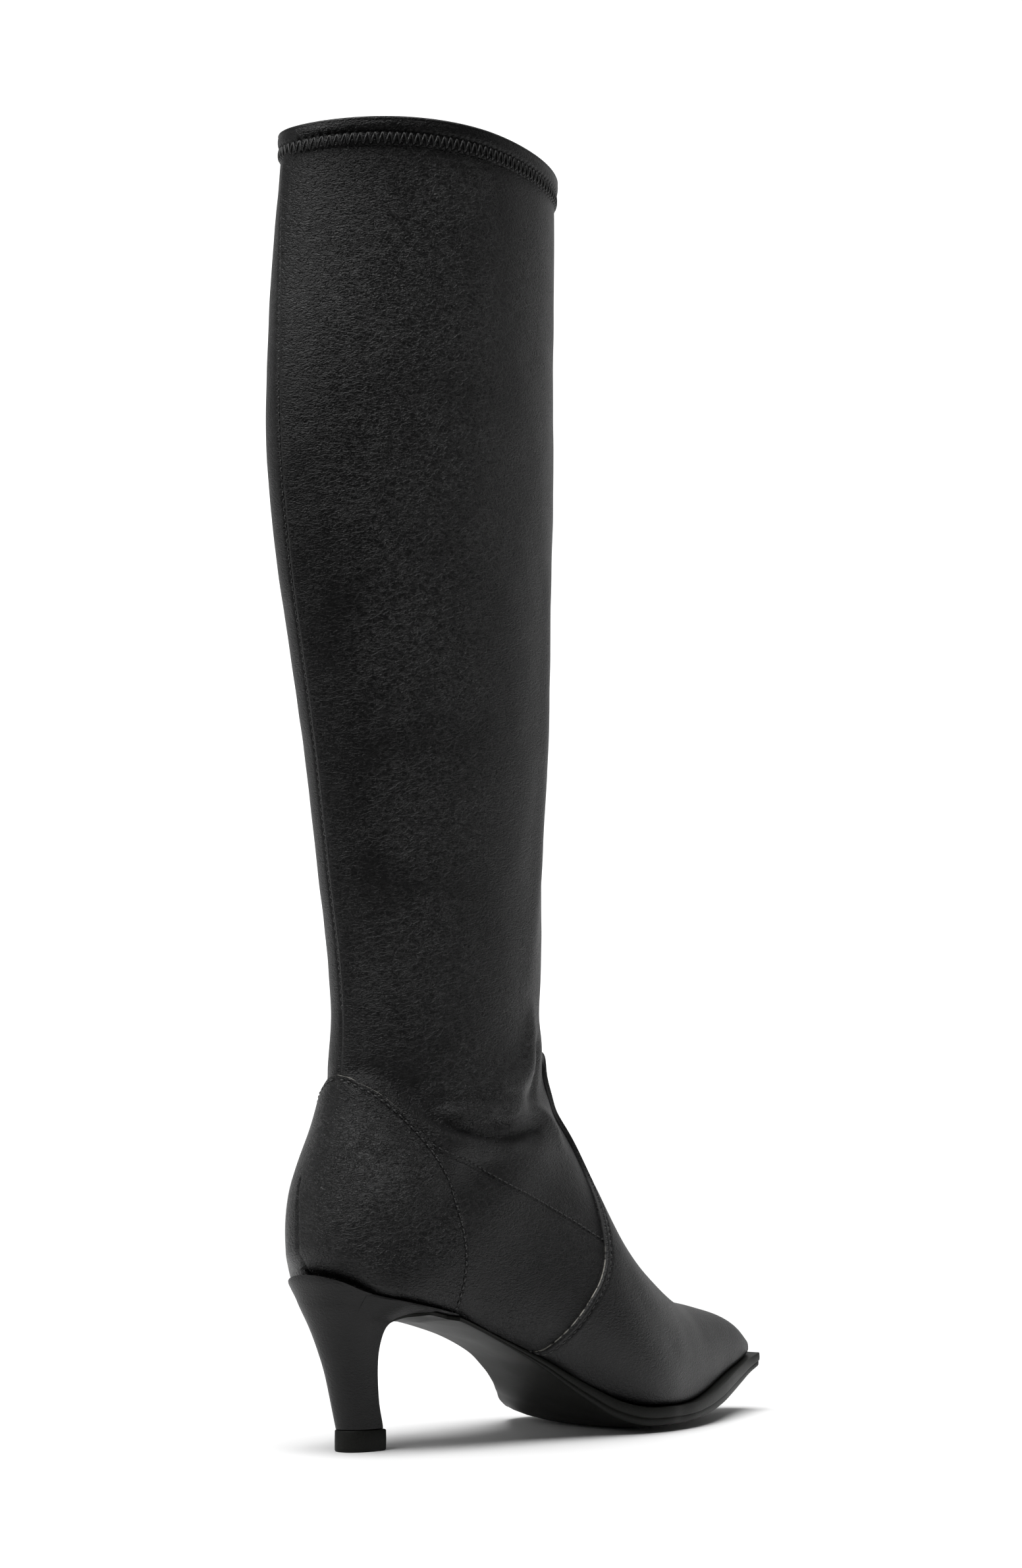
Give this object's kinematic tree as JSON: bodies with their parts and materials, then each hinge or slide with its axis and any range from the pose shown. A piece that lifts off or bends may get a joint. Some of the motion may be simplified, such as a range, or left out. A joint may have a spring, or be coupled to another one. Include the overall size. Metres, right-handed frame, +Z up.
{
  "type": "knee-high boot",
  "caption": "Black leather knee-high pull-on boot with a pointed toe, tall vamp tongue, heel counter, bound collar and slim covered heel",
  "frame": {"origin": "centre of the top lift's ground face, where the heel rests", "axes": "+Z up the shaft, -Y towards the toe, -X towards the boot's outer side"},
  "size_m": [0.0829, 0.2574, 0.4526],
  "materials": {
    "upper_leather": "smooth black leather, fine grain, soft sheen",
    "overlay_leather": "smooth black leather with cut edges and stitching, soft sheen",
    "binding_leather": "folded black leather band",
    "insole_sheet": "dark matt lining",
    "sole_rubber": "matt, slightly brown black with a plain edge",
    "heel_cover": "smooth black leather drawn tight over the heel",
    "lift_rubber": "matt dense rubber"
  },
  "bodies": {
    "root": {"upper": "upper_leather", "vamp": "overlay_leather", "heel_counter": "overlay_leather", "collar_binding": "binding_leather", "insole": "insole_sheet", "outsole": "sole_rubber", "heel": "heel_cover", "top_lift": "lift_rubber"}
  },
  "joints": []
}
